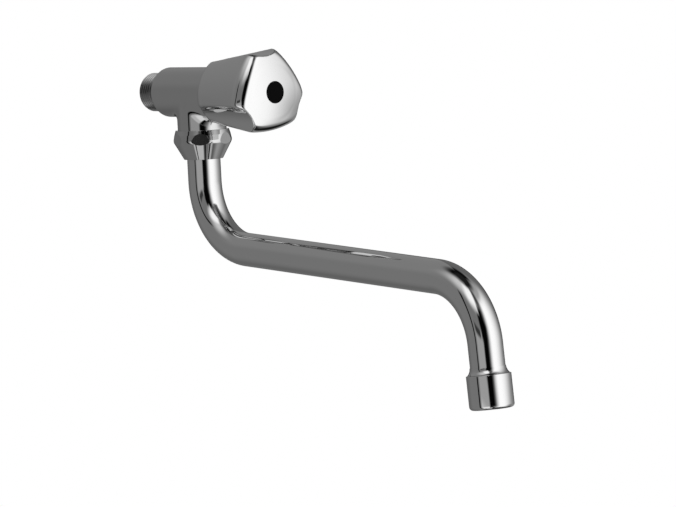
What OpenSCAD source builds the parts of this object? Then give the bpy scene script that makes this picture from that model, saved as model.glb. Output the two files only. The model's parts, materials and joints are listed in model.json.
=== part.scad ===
// Wall-mounted stop tap with a three-sided handle and a swivelling S spout.
// Millimetres. The origin is the centre of the wall face, where the inlet thread leaves the body.
// +Y runs into the wall, -Y towards the user, +Z up. Lengths along the body and the handle are
// counted from the wall face towards the user, so a place t lies at Y = -t.

/* [Body] */
// Outer radius of the horizontal body
body_r = 13.5; // [13:0.1:16]
// Length of the body from the wall face to its front end
body_l = 47; // [44:1:70]
// Rounding of the body's rear edge
body_edge = 2.7; // [1:0.1:4]
// Distance of the neck's axis behind the body's front end
neck_back = 19; // [16:0.5:21]
// Outer radius of the neck under the body, and of its thread
neck_r = 13.2; // [13:0.1:13.4]
// Distance of the neck's lower end under the body's axis
neck_l = 29; // [27:0.5:40]
// Length of the thread on the neck's lower end
neck_thread_l = 7; // [5:0.5:9]
// Radius of the waterway from the valve chamber into the neck
port_r = 7.5; // [5:0.1:8]

/* [Inlet] */
// Outer radius of the inlet thread, a half-inch pipe thread
inlet_r = 10.478; // [10:0.001:12]
// Length of the threaded inlet shank
inlet_l = 13.2; // [10:0.1:30]
// Chamfer on the end of the inlet shank
inlet_edge = 0.9; // [0.3:0.1:1.5]
// Radius of the inlet waterway
inlet_bore_r = 7.5; // [6:0.1:8]
// Distance from one thread groove to the next
inlet_pitch = 1.814; // [1:0.001:2.4]
// Depth of the thread grooves
inlet_thread_depth = 1.1; // [0.4:0.1:1.3]

/* [Valve] */
// Radius of the hole in the valve seat
seat_r = 5.5; // [5:0.1:6]
// Distance of the seat behind the body's front end
seat_back = 28; // [27:0.5:31]
// Thickness of the wall that the seat is cut in
seat_wall = 4; // [2:0.5:5]
// How far the washer covers the seat beyond its hole
washer_over = 2.1; // [1.5:0.1:2.4]
// Thickness of the rubber seat washer
washer_h = 3.5; // [2.5:0.1:4]
// How far the piston lifts off the seat
lift = 4.5; // [3:0.1:5]
// Length of the hexagon that keeps the piston from turning
guide_l = 10.5; // [9:0.5:12]
// Length of the piston's threaded stem beyond its hexagon
stem_l = 11; // [8:0.5:12]

/* [Headwork] */
// Length of the bonnet's thread inside the body
bonnet_thread_l = 9; // [7:0.5:10]
// Width of the bonnet's hexagon across its flats
bonnet_af = 22; // [20:0.5:24]
// Height of the bonnet's hexagon
bonnet_hex_h = 6.2; // [4:0.1:8]
// Length of the bonnet's round neck in front of its hexagon
bonnet_neck_l = 11; // [10:0.5:12]
// Thickness of the flat gasket under the bonnet
gasket_h = 0.8; // [0.5:0.1:1.5]
// Number of teeth on the spindle's spline
spline_teeth = 20; // [12:1:24]

/* [Handle] */
// Length of the handle from its rear rim to the middle of its face
handle_l = 46.8; // [46:0.1:60]
// Radius of the handle over its three corners, where it is widest
handle_r = 24.3; // [22.5:0.1:27]
// Distance of the middle of each side from the axis, where the handle is widest
side_r = 20.7; // [20.2:0.1:22]
// Radius of the curve across each side
side_curve_r = 60; // [40:1:80]
// Radius of the rounded shoulder near the rear rim
shoulder_r = 18.7; // [17:0.1:20]
// Distance of the shoulder in front of the rear rim
shoulder_l = 5.5; // [4.5:0.5:9]
// Radius of the finger grooves at the three corners
groove_r = 13; // [11:1:24]
// Distance of the groove floors from the axis, at the face
groove_floor_r = 19.8; // [19.2:0.1:20.5]
// Distance of the groove floors from the axis, at the rear rim
groove_rear_r = 16.6; // [15:0.1:17.5]
// Radius of the dome of the face
dome_r = 80; // [60:5:140]
// Distance of the widest place behind the middle of the face
wide_back = 9.3; // [7:0.1:10]
// Radius of the bow of each side in front of the widest place
side_bow_r = 9; // [8:0.1:14]
// Radius of the bow of each corner in front of the widest place
corner_bow_r = 8; // [7.5:0.1:14]
// Wall at the rear rim
rim_wall = 1.1; // [0.8:0.1:2]
// How far the rear rim covers the front end of the body
rim_over = 1.5; // [0.5:0.1:3]
// How far the handle is turned, measured to the middle of its first side
handle_turn = 36.5; // [0:0.5:119]
// Radius of the index cap in the face
cap_r = 5.9; // [5:0.1:7]

/* [Spout nut] */
// Width of the nut across its flats
nut_af = 30; // [29.5:0.1:32]
// How far the nut's ridge stands out beyond its flats
nut_ridge = 0.65; // [0.3:0.05:1]
// Height of the nut above its ridge
nut_top_h = 5.7; // [4.5:0.1:8]
// Height of the nut below its ridge
nut_low_h = 9.5; // [8.5:0.1:12]
// How far the nut is turned
nut_turn = 16; // [0:1:59]

/* [Spout] */
// Outer radius of the spout tube
tube_r = 9; // [8:0.1:9.4]
// Wall of the spout tube
tube_wall = 1; // [0.8:0.1:1.5]
// Depth of the start of the first bend under the body's axis
riser_z = 48.3; // [46:0.1:120]
// Radius of both bends, to the tube's centre line
bend_r = 36.2; // [25:0.1:60]
// Slope of the run, downwards away from the body
run_slope = 3.45; // [0:0.05:15]
// Length of the straight run
run_l = 153.4; // [60:0.1:300]
// Outward tilt of the outlet
outlet_tilt = 5.1; // [0:0.1:20]
// Straight length of the tube below the second bend
outlet_l = 15.3; // [10:0.1:60]

/* [Outlet] */
// Outer radius of the aerator housing
aerator_r = 11.5; // [11.2:0.1:13]
// Height of the aerator housing
aerator_h = 17.5; // [15:0.1:25]
// Rounding of the housing's lower edge
aerator_edge = 2; // [0.5:0.1:2.4]
// Height of the flare on the outlet fitting
flare_h = 3.8; // [2:0.1:6]
// Radius of the flare at its foot
flare_r = 10.9; // [10.4:0.1:11]
// Length of the thread that carries the aerator housing
outlet_thread_l = 8.5; // [6:0.1:9]
// Radius of the aerator's opening
jet_r = 8.3; // [7:0.1:8.6]

/* [Clearances] */
// Radial clearance of a running, sliding or screwed fit
fit = 0.05; // [0.03:0.01:0.08]
// Clearance between parts that turn past each other
gap = 0.3; // [0.3:0.05:0.4]

/* [Hidden] */
$fn = 96;
chrome = "#c4c6c8";
brass = "#c9a552";
steel = "#a9adb0";
rubber = "#262626";
nylon = "#e4e2da";

// the neck and the seat, counted from the wall face
neck_t = body_l - neck_back;
seat_t = body_l - seat_back;
seat_lip_h = 0.8;
seat_lip_r = seat_r + 1.1;

// the piston and its washer, closed on the seat
washer_hole_r = 2;
washer_r = seat_r + washer_over;
cup_wall = 0.65;
cup_r = washer_r + fit + cup_wall;
cup_rim_h = 1.5;
cup_plate_h = 3.5;
washer_t0 = seat_t + fit;
washer_t1 = washer_t0 + washer_h;
cup_t1 = washer_t1 + cup_plate_h;
guide_t1 = cup_t1 + guide_l;
stem_t1 = guide_t1 + stem_l;
guide_step = 1.55;
guide_af = 2 * (cup_r - guide_step);
screw_head_r = seat_r - 2;
screw_head_h = 2.2;
slot_w = 1;
slot_h = 1;
screw_in = 6;

// the chamber, and the bonnet that is screwed into it
chamber_r = cup_r + 1;
bonnet_thread_step = 0.7;
bonnet_thread_r = chamber_r + bonnet_thread_step;
bonnet_thread_t0 = body_l - bonnet_thread_l;
bonnet_hex_t0 = body_l + gasket_h;
bonnet_hex_t1 = bonnet_hex_t0 + bonnet_hex_h;
bonnet_t0 = cup_t1 + lift + 2.4;
bonnet_t1 = bonnet_hex_t1 + bonnet_neck_l;
guide_bore_t1 = guide_t1 + lift + gap;

// the spindle turns in the bonnet on a shoulder and two O-rings
shoulder_step = 0.15;
collar_r = guide_af / 2 - shoulder_step;
collar_t0 = guide_bore_t1 + 0.2;
collar_t1 = collar_t0 + 2.5;
spindle_r = collar_r - 1;
bonnet_neck_r = spindle_r + 2.9;
stem_r = spindle_r - 1.6;
stem_bore_t1 = stem_t1 + lift + 1;
seal_cord_r = 0.8;
seal_width = 2.2;
seal_back = 5.2;
seal_pitch = 4;
seal_places = [for (k = [0, 1]) bonnet_t1 - seal_back - k * seal_pitch];
glide_h = 0.8;
clip_h = 0.9;
clip_step = 0.7;
clip_rim = 1.6;
clip_mouth = 3;
end_r = spindle_r - 1;
clip_t0 = bonnet_t1 + 2 * fit + glide_h;
clip_t1 = clip_t0 + clip_h + 2 * fit;
spline_r = end_r - 0.6;
spline_depth = 0.4;

// the handle's own places, from its rear rim to its face
rim_t = body_l - rim_over;
face_t = rim_t + handle_l;
wide_t = face_t - wide_back;
rim_bore_r = body_r + gap;
rim_r = rim_bore_r + rim_wall;
cap_h = 2.6;
cap_skirt_h = 5;
cap_skirt_wall = 1;
cap_ledge_t = face_t - cap_h - cap_skirt_h;
pin_r = 2;
pin_hole_r = 2.3;
pin_head_r = 3.6;
pin_head_h = 2.4;
pin_key_af = 2.5;
pin_key_t = 0.8;
pin_l = 16;
web_h = 2.5;
web_t1 = cap_ledge_t - pin_head_h - gap;
web_t0 = web_t1 - web_h;
adapter_end_h = 1.2;
adapter_t0 = clip_t1 + 0.4;
spindle_t1 = web_t0 - adapter_end_h - gap;
adapter_af = 2 * (spline_r + 2.2);
boss_wall = 1.1;
boss_r = adapter_af / 2 / cos(30) + boss_wall;
shell_wall = 2.7;
shell_front_h = 4.3;
side_slope = 0.14;
groove_slope = (groove_floor_r - groove_rear_r) / handle_l;

// the swivel joint under the neck
sleeve_wall = 1.5;
sleeve_r = tube_r + sleeve_wall;
neck_bore_r = sleeve_r + 1.6 * fit;
neck_thread_z = -neck_l + neck_thread_l;
neck_relief = 0.6;
neck_bore_l = 15;
neck_bore_z = -neck_l + neck_bore_l;
sleeve_z = neck_bore_z - 1;
tube_in = 5;
tube_z = -neck_l + tube_in;
ring_h = 0.6;
flange_r = sleeve_r + 0.7;
flange_z1 = -neck_l - ring_h - fit;
flange_h = 2;
flange_z0 = flange_z1 - flange_h;
snap_h = 1;
nut_chamber_r = flange_r + gap;
nut_floor_z = flange_z0 - fit - snap_h;
nut_ridge_h = 6.2;
nut_ridge_z = nut_floor_z + nut_ridge_h;
nut_top_z = nut_ridge_z + nut_top_h;
nut_low_z = nut_ridge_z - nut_low_h;
nut_top_r = neck_r + fit + 1.2;
nut_low_r = tube_r + 1.5;
swivel_seal_r = 0.9;
swivel_seal_in = 2.3;
swivel_seal_pitch = 3.8;
swivel_seal_places = [for (k = [0, 1]) sleeve_z - swivel_seal_in - k * swivel_seal_pitch];

// how far the spout turns in its two bends, the second one back downwards, and how much the
// tube's wall draws in where it is bent
first_turn = 90 - run_slope;
second_turn = outlet_tilt + run_slope - 90;
bend_draw = 0.01;

// the outlet, counted along its own axis from the end of the second bend
fitting_wall = 0.25;
housing_wall = 1.45;
outlet_thread_r = aerator_r - housing_wall - fit;
fitting_t1 = outlet_l + outlet_thread_l;
jet_gasket_h = 1.2;
jet_lip_h = 2.2;
housing_t1 = outlet_l + aerator_h;
insert_t0 = fitting_t1 + jet_gasket_h;
insert_t1 = housing_t1 - jet_lip_h;
insert_r = outlet_thread_r - 0.1;
insert_wall = 1.2;
insert_plate_h = 1.2;
screen_h = 0.5;
screen_pitch = 1.4;
mesh_pitch = 2.2;
mesh_hole = 1.6;
jet_ring_r = 5.5;
jet_hole_r = 0.7;
screen_r = insert_r - insert_wall - fit;

// Stands what is drawn upright along the body's axis, with its height t towards the user.
module along_body() rotate([90, 0, 0]) children();

// Puts what is drawn about an upright axis on the swivel axis.
module on_swivel() translate([0, -neck_t, 0]) children();

// Turns a spout drawn along +X to point at the user.
module ahead() on_swivel() rotate([0, 0, -90]) children();

// Carries what is drawn at the start of a bend to the bend's end, and turns it with the bend.
module after_bend(turn) translate([sign(turn) * bend_r, 0, 0]) rotate([0, -turn, 0])
    translate([-sign(turn) * bend_r, 0, 0]) children();

// Puts what is drawn hanging down on the sloping run, at its start.
module on_run() ahead() translate([0, 0, -riser_z]) after_bend(first_turn) children();

// Puts what is drawn upright on the outlet's axis, with its height along the flow.
module on_outlet() on_run() translate([0, 0, -run_l]) after_bend(second_turn)
    rotate([180, 0, 0]) children();

module ring(inner, outer, from, to) translate([0, 0, from]) difference() {
    cylinder(r = outer, h = to - from);
    translate([0, 0, -1]) cylinder(r = inner, h = to - from + 2);
}

module hexagon(across_flats) circle(r = across_flats / 2 / cos(30), $fn = 6);

module o_rings(places, centre_r, cord_r) for (z = places) translate([0, 0, z])
    rotate_extrude() translate([centre_r, 0]) circle(r = cord_r, $fn = 32);

// What a rounded edge leaves out of the corner between a wall at +x and an end at +y.
module corner_cut(r) difference() {
    translate([-r, -r]) square(2 * r);
    translate([-r, -r]) circle(r = r);
    translate([-2 * r - 1, -2 * r - 1]) square([r + 1, 3 * r + 2]);
    translate([-2 * r - 1, -2 * r - 1]) square([3 * r + 2, r + 1]);
}

function spline_points(r) = [for (i = [0 : 4 * spline_teeth - 1])
    let (out = i % 4 < 2 ? r : r - spline_depth, a = i * 90 / spline_teeth)
    out * [cos(a), sin(a)]];

module inlet_grooves() {
    crest = 0.4;
    runout = 1.3;
    count = floor((inlet_l - inlet_edge - runout - crest) / inlet_pitch);
    for (i = [0 : count - 1]) translate([inlet_r, -runout - i * inlet_pitch]) polygon([
        [0.1, 0], [-inlet_thread_depth, -(inlet_pitch - crest) / 2], [0.1, crest - inlet_pitch]]);
}

module valve_body() color(chrome) difference() {
    union() {
        along_body() rotate_extrude() difference() {
            union() {
                square([body_r, body_l]);
                polygon([[0, -inlet_l], [inlet_r - inlet_edge, -inlet_l],
                         [inlet_r, inlet_edge - inlet_l], [inlet_r, 1], [0, 1]]);
            }
            translate([body_r, 0]) mirror([0, 1]) corner_cut(body_edge);
            inlet_grooves();
        }
        on_swivel() translate([0, 0, -neck_l]) cylinder(r = neck_r, h = neck_l);
    }
    on_swivel() ring(neck_r - neck_relief, neck_r + 1, neck_thread_z, neck_thread_z + 1);
    along_body() rotate_extrude() polygon([
        [0, -inlet_l - 1], [inlet_bore_r, -inlet_l - 1], [inlet_bore_r, seat_t - seat_wall],
        [seat_r, seat_t - seat_wall], [seat_r, seat_t], [seat_lip_r, seat_t],
        [seat_lip_r, seat_t - seat_lip_h], [chamber_r, seat_t - seat_lip_h],
        [chamber_r, bonnet_thread_t0 - gap], [bonnet_thread_r + fit, bonnet_thread_t0 - gap],
        [bonnet_thread_r + fit, body_l + 1], [0, body_l + 1]]);
    on_swivel() rotate_extrude() polygon([
        [0, 0], [port_r, 0], [port_r, neck_bore_z], [neck_bore_r, neck_bore_z],
        [neck_bore_r, -neck_l - 1], [0, -neck_l - 1]]);
}

module bonnet() color(brass) along_body() difference() {
    union() {
        rotate_extrude() polygon([
            [0, bonnet_t0], [chamber_r - gap, bonnet_t0], [chamber_r - gap, bonnet_thread_t0],
            [bonnet_thread_r, bonnet_thread_t0], [bonnet_thread_r, bonnet_hex_t0 + 1],
            [bonnet_neck_r, bonnet_hex_t0 + 1], [bonnet_neck_r, bonnet_t1], [0, bonnet_t1]]);
        translate([0, 0, bonnet_hex_t0]) linear_extrude(bonnet_hex_h) hexagon(bonnet_af);
    }
    translate([0, 0, bonnet_t0 - 1])
        linear_extrude(guide_bore_t1 - bonnet_t0 + 1) hexagon(guide_af + 2 * fit);
    translate([0, 0, guide_bore_t1 - 1])
        cylinder(r = collar_r + fit, h = collar_t1 + fit - guide_bore_t1 + 1);
    translate([0, 0, collar_t1]) cylinder(r = spindle_r + fit, h = bonnet_t1 - collar_t1 + 1);
}

module bonnet_gasket() color(rubber) along_body()
    ring(bonnet_thread_r + fit, bonnet_af / 2, body_l, bonnet_hex_t0);

module seat_washer() color(rubber) along_body() ring(washer_hole_r, washer_r, washer_t0, washer_t1);

module washer_screw() color(brass) along_body() difference() {
    union() {
        translate([0, 0, washer_t0 - screw_head_h]) cylinder(r = screw_head_r, h = screw_head_h);
        translate([0, 0, washer_t0 - 1]) cylinder(r = washer_hole_r - fit, h = washer_h + screw_in + 1);
    }
    translate([-screw_head_r - 1, -slot_w / 2, washer_t0 - screw_head_h - 1])
        cube([2 * screw_head_r + 2, slot_w, slot_h + 1]);
}

module valve_piston() color(brass) along_body() difference() {
    union() {
        translate([0, 0, washer_t1 - cup_rim_h]) cylinder(r = cup_r, h = cup_plate_h + cup_rim_h);
        translate([0, 0, cup_t1 - 1]) linear_extrude(guide_l + 1) hexagon(guide_af);
        translate([0, 0, guide_t1 - 1]) cylinder(r = stem_r, h = stem_l + 1);
    }
    translate([0, 0, washer_t1 - cup_rim_h - 1]) cylinder(r = washer_r + fit, h = cup_rim_h + 1);
    translate([0, 0, washer_t1 - 1]) cylinder(r = washer_hole_r, h = screw_in + 2);
}

module spindle() color(brass) along_body() difference() {
    union() {
        rotate_extrude() polygon([
            [0, collar_t0], [collar_r, collar_t0], [collar_r, collar_t1], [spindle_r, collar_t1],
            [spindle_r, bonnet_t1], [end_r, bonnet_t1], [end_r, clip_t0],
            [end_r - clip_step, clip_t0], [end_r - clip_step, clip_t1], [end_r, clip_t1],
            [end_r, clip_t1 + gap], [0, clip_t1 + gap]]);
        translate([0, 0, clip_t1])
            linear_extrude(spindle_t1 - clip_t1) polygon(spline_points(spline_r));
    }
    translate([0, 0, collar_t0 - 1]) cylinder(r = stem_r + fit, h = stem_bore_t1 - collar_t0 + 1);
    for (t = seal_places)
        ring(spindle_r - 2 * seal_cord_r, spindle_r + 1, t - seal_width / 2, t + seal_width / 2);
    translate([0, 0, web_t1 - pin_l - 1]) cylinder(r = pin_r + fit, h = pin_l);
}

module spindle_seals() color(rubber) along_body()
    o_rings(seal_places, spindle_r - seal_cord_r + fit / 2, seal_cord_r);

module glide_washer() color(nylon) along_body()
    ring(end_r + fit, bonnet_neck_r - 0.7, bonnet_t1 + fit, bonnet_t1 + fit + glide_h);

module spindle_circlip() color(steel) along_body() difference() {
    ring(end_r - clip_step + fit, end_r + clip_rim, clip_t0 + fit, clip_t0 + fit + clip_h);
    translate([0, -clip_mouth / 2, clip_t0 - 1]) cube([end_r + clip_rim + 1, clip_mouth, clip_h + 2]);
}

module dome_ball(drop) translate([0, 0, face_t - dome_r - drop]) sphere(r = dome_r, $fn = 200);

// One outline of the handle about its own upright axis: up its rear part, which is a list of
// [radius, place], then a straight taper, and a bow in front of the widest place.
module tapered_outline(rear, wide_r, bow_r) {
    polygon(concat([[0, rim_t]], rear, [[wide_r, wide_t], [0, wide_t]]));
    translate([0, wide_t - 1]) square([wide_r - bow_r, wide_back + 2]);
    intersection() {
        translate([wide_r - bow_r, wide_t]) circle(r = bow_r, $fn = 200);
        translate([0, wide_t - 1]) square([wide_r + 1, bow_r + 2]);
    }
}

// The turned shape that joins the rear rim, through a rounded shoulder, to the three corners.
module handle_turned() {
    shoulder = [for (a = [0 : 15 : 90])
        [rim_r + (shoulder_r - rim_r) * sin(a), rim_t + shoulder_l * (1 - cos(a))]];
    rotate_extrude() tapered_outline(shoulder, handle_r, corner_bow_r);
}

// A bulging side of the handle: the turned shape that its curve belongs to, set off the axis.
module handle_side() {
    off = side_curve_r - side_r;
    rear_r = side_curve_r - side_slope * (wide_t - rim_t);
    translate([-off, 0, 0]) rotate_extrude($fn = 200)
        tapered_outline([[rear_r, rim_t]], side_curve_r, side_bow_r);
}

module finger_groove() {
    tilt = atan(groove_slope);
    translate([groove_rear_r + groove_r / cos(tilt), 0, rim_t]) rotate([0, tilt, 0])
        translate([0, 0, -groove_r]) cylinder(r = groove_r, h = handle_l + 2 * groove_r);
}

module handle_outer() difference() {
    intersection() {
        handle_turned();
        dome_ball(0);
        handle_side();
        rotate([0, 0, 120]) handle_side();
        rotate([0, 0, 240]) handle_side();
    }
    for (k = [0 : 2]) rotate([0, 0, 60 + 120 * k]) finger_groove();
}

module handle_shell() color(chrome) along_body() rotate([0, 0, handle_turn]) difference() {
    handle_outer();
    rotate_extrude() polygon([
        [0, rim_t - 1], [rim_bore_r, rim_t - 1], [rim_bore_r, bonnet_hex_t1 + 1],
        [groove_floor_r - shell_wall, face_t - shell_front_h - 2],
        [groove_floor_r - shell_wall - 2, face_t - shell_front_h], [boss_r, face_t - shell_front_h],
        [boss_r, adapter_t0], [0, adapter_t0]]);
    translate([0, 0, adapter_t0 - 1])
        linear_extrude(web_t0 - adapter_t0 + 1) hexagon(adapter_af + 2 * fit);
    translate([0, 0, web_t0 - 1]) cylinder(r = pin_hole_r, h = web_h + 2);
    translate([0, 0, web_t1]) cylinder(r = pin_head_r + gap, h = cap_ledge_t - web_t1 + 1);
    translate([0, 0, cap_ledge_t]) cylinder(r = cap_r + fit, h = cap_h + cap_skirt_h + 1);
}

module handle_adapter() color(nylon) along_body() rotate([0, 0, handle_turn]) difference() {
    translate([0, 0, adapter_t0]) linear_extrude(web_t0 - adapter_t0) hexagon(adapter_af);
    translate([0, 0, adapter_t0 - 1]) rotate([0, 0, -handle_turn])
        linear_extrude(spindle_t1 + gap - adapter_t0 + 1) polygon(spline_points(spline_r + fit));
    translate([0, 0, web_t0 - adapter_end_h - 1]) cylinder(r = pin_hole_r, h = adapter_end_h + 2);
}

module handle_screw() color(steel) along_body() difference() {
    union() {
        translate([0, 0, web_t1]) cylinder(r = pin_head_r, h = pin_head_h);
        translate([0, 0, web_t1 - pin_l]) cylinder(r = pin_r, h = pin_l + 1);
    }
    translate([0, 0, web_t1 + pin_key_t]) linear_extrude(pin_head_h) hexagon(pin_key_af);
}

module index_cap() color("#101010") along_body() difference() {
    intersection() {
        translate([0, 0, cap_ledge_t]) cylinder(r = cap_r, h = cap_h + cap_skirt_h);
        dome_ball(0.15);
    }
    translate([0, 0, cap_ledge_t - 1]) cylinder(r = cap_r - cap_skirt_wall, h = cap_skirt_h + 1);
}

module spout_nut() color(chrome) on_swivel() difference() {
    intersection() {
        rotate_extrude() polygon([
            [0, nut_low_z], [nut_low_r, nut_low_z], [nut_af / 2 + nut_ridge, nut_ridge_z],
            [nut_top_r, nut_top_z], [0, nut_top_z]]);
        translate([0, 0, nut_low_z - 1]) rotate([0, 0, nut_turn])
            linear_extrude(nut_top_h + nut_low_h + 2) hexagon(nut_af);
    }
    rotate_extrude() polygon([
        [0, nut_low_z - 1], [tube_r + gap, nut_low_z - 1], [tube_r + gap, nut_floor_z],
        [nut_chamber_r, nut_floor_z], [nut_chamber_r, -neck_l - gap],
        [neck_r + fit, -neck_l - gap], [neck_r + fit, nut_top_z + 1], [0, nut_top_z + 1]]);
}

module upper_slide_ring() color(nylon) on_swivel()
    ring(sleeve_r + fit, nut_chamber_r - fit, -neck_l - ring_h, -neck_l);

module lower_slide_ring() color(steel) on_swivel()
    ring(tube_r + 2 * fit, nut_chamber_r - fit, nut_floor_z, nut_floor_z + snap_h);

module swivel_sleeve() color(brass) on_swivel() difference() {
    rotate_extrude() polygon([
        [tube_r - tube_wall - 0.5, sleeve_z], [sleeve_r, sleeve_z], [sleeve_r, flange_z1],
        [flange_r, flange_z1], [flange_r, flange_z0], [tube_r + fit / 2, flange_z0],
        [tube_r + fit / 2, tube_z], [tube_r - tube_wall - 0.5, tube_z]]);
    for (z = swivel_seal_places)
        ring(sleeve_r - 2 * swivel_seal_r, sleeve_r + 1, z - seal_width / 2, z + seal_width / 2);
}

module swivel_seals() color(rubber) on_swivel()
    o_rings(swivel_seal_places, sleeve_r - swivel_seal_r + fit / 2, swivel_seal_r);

module tube_section(draw) difference() {
    circle(r = tube_r - draw);
    circle(r = tube_r - tube_wall + draw);
}

module tube_straight(length) translate([0, 0, -length]) linear_extrude(length) tube_section(0);

// A bend that starts downwards: it turns towards +X, or back towards -X where turn is negative.
// It is swept a little too far, and cut off square by what follows it.
module tube_bend(turn) difference() {
    mirror([turn < 0 ? 1 : 0, 0, 0]) translate([bend_r, 0, 0]) rotate([90, 0, 0]) rotate([0, 0, 180])
        rotate_extrude(angle = abs(turn) + 2) translate([bend_r, 0]) tube_section(bend_draw);
    after_bend(turn) translate([-1.5 * tube_r, -1.5 * tube_r, -3 * tube_r]) cube(3 * tube_r);
}

module spout_tube() color(chrome) {
    ahead() translate([0, 0, tube_z]) tube_straight(riser_z + tube_z);
    ahead() translate([0, 0, -riser_z]) tube_bend(first_turn);
    on_run() tube_straight(run_l);
    on_run() translate([0, 0, -run_l]) tube_bend(second_turn);
    on_outlet() linear_extrude(outlet_l) tube_section(0);
}

module outlet_fitting() color(chrome) on_outlet() rotate_extrude() difference() {
    union() {
        translate([0, outlet_l - flare_h]) square([flare_r, flare_h]);
        translate([0, outlet_l - 1]) square([outlet_thread_r, outlet_thread_l + 1]);
    }
    translate([0, outlet_l - flare_h - 1]) square([tube_r + fit / 2, flare_h + 1]);
    translate([0, outlet_l - 1]) square([tube_r - tube_wall, outlet_thread_l + 2]);
    translate([tube_r + fitting_wall, outlet_l - flare_h]) flare_hollow();
}

// The concave side of the flare: a quarter of a circle through its top and its foot.
module flare_hollow() {
    step = flare_r - tube_r - fitting_wall;
    hollow_r = (step * step + flare_h * flare_h) / (2 * step);
    translate([hollow_r, 0]) circle(r = hollow_r, $fn = 200);
}

module aerator_housing() color(chrome) on_outlet() rotate_extrude() difference() {
    translate([0, outlet_l]) square([aerator_r, aerator_h]);
    translate([aerator_r, housing_t1]) corner_cut(aerator_edge);
    translate([0, outlet_l - 1]) square([outlet_thread_r + fit, insert_t1 - outlet_l + 1]);
    translate([0, insert_t1 - 1]) square([jet_r, jet_lip_h + 2]);
}

module aerator_gasket() color(rubber) on_outlet()
    ring(tube_r - tube_wall, insert_r, fitting_t1, insert_t0);

module aerator_insert() color(nylon) on_outlet() difference() {
    translate([0, 0, insert_t0]) cylinder(r = insert_r, h = insert_t1 - insert_t0);
    translate([0, 0, insert_t0 + insert_plate_h])
        cylinder(r = insert_r - insert_wall, h = insert_t1 - insert_t0);
    for (a = [0 : 30 : 330]) rotate([0, 0, a]) translate([jet_ring_r, 0, insert_t0 - 1])
        cylinder(r = jet_hole_r, h = insert_plate_h + 2, $fn = 24);
}

module aerator_screens() color(steel) on_outlet() for (k = [0 : 1])
    translate([0, 0, insert_t1 - screen_h - k * screen_pitch]) difference() {
        cylinder(r = screen_r, h = screen_h);
        for (x = [-3 : 3]) for (y = [-3 : 3]) if (norm([x, y]) < 3.4)
            translate([mesh_pitch * x - mesh_hole / 2, mesh_pitch * y - mesh_hole / 2, -1])
                cube([mesh_hole, mesh_hole, screen_h + 2]);
    }

valve_body();
bonnet();
bonnet_gasket();
seat_washer();
washer_screw();
valve_piston();
spindle();
spindle_seals();
spindle_circlip();
glide_washer();
handle_shell();
handle_adapter();
handle_screw();
index_cap();
spout_nut();
upper_slide_ring();
lower_slide_ring();
swivel_sleeve();
swivel_seals();
spout_tube();
outlet_fitting();
aerator_housing();
aerator_gasket();
aerator_insert();
aerator_screens();
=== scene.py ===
import json
import math

import bpy
import numpy as np
from mathutils import Matrix, Vector


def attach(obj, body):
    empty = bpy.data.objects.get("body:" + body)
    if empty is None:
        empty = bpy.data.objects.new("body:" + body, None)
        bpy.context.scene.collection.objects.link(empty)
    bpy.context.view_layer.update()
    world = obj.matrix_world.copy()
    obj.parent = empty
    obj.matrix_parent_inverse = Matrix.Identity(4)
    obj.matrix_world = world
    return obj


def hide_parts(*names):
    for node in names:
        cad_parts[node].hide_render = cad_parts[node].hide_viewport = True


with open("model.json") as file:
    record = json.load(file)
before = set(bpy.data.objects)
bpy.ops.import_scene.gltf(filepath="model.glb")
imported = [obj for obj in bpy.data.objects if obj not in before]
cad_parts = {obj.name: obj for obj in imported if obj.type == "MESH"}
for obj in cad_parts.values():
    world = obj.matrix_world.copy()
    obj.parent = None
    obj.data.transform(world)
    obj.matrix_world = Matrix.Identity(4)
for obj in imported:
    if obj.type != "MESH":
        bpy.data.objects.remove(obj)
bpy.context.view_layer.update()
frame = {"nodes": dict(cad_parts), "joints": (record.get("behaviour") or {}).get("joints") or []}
mm = 0.001
weldGap = 1e-6  # m, vertices closer than this are one
overlap = 1  # mm, how far a cutting tool or a joined piece reaches past the face it meets
swivelAxis = Vector(next(j["pos_m"] for j in frame["joints"] if j["name"] == "spout_swivel"))
print("frame loaded")


# camera: a long lens, seen from the left and a little above

cameraView = {
    "frame": (676, 507),  # pixels
    "pixelsPerMetre": 1852.2,  # at the swivel axis
    "distance": 2.3,
    "azimuth": -39.79,  # degrees round from straight in front; a minus is to the left
    "elevation": 4.667,
    "roll": 2.925,
    "bodyAxisPixel": (200.218, 92.134),  # where the body's axis crosses the swivel axis
    "sensor": 36,  # mm
}


def placeCamera(v):
    a, e, roll = (math.radians(v[key]) for key in ("azimuth", "elevation", "roll"))
    back = Vector((math.sin(a) * math.cos(e), -math.cos(a) * math.cos(e), math.sin(e)))
    level = Vector((math.cos(a), math.sin(a), 0))
    upright = back.cross(level)
    right = math.cos(roll) * level - math.sin(roll) * upright
    up = math.sin(roll) * level + math.cos(roll) * upright
    wide, high = v["frame"]
    px, py = v["bodyAxisPixel"]
    aim = Vector((0, swivelAxis.y, 0))
    aim += back * v["distance"] - right * (px - wide / 2) / v["pixelsPerMetre"]
    aim += up * (py - high / 2) / v["pixelsPerMetre"]
    bpy.ops.object.camera_add()
    camera = bpy.context.object
    camera.name = "photoCamera"
    camera.matrix_world = Matrix((right, up, back)).transposed().to_4x4()
    camera.location = aim
    camera.data.sensor_width = v["sensor"]
    camera.data.lens = v["pixelsPerMetre"] * v["distance"] * v["sensor"] / wide
    camera.data.clip_end = 50
    bpy.context.scene.camera = camera


placeCamera(cameraView)
print("camera placed")


# nodes and colours

def linearColour(hexCode):
    channels = [int(hexCode[i:i + 2], 16) / 255 for i in (1, 3, 5)]
    return [c / 12.92 if c <= 0.04045 else ((c + 0.055) / 1.055) ** 2.4 for c in channels] + [1]


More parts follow.
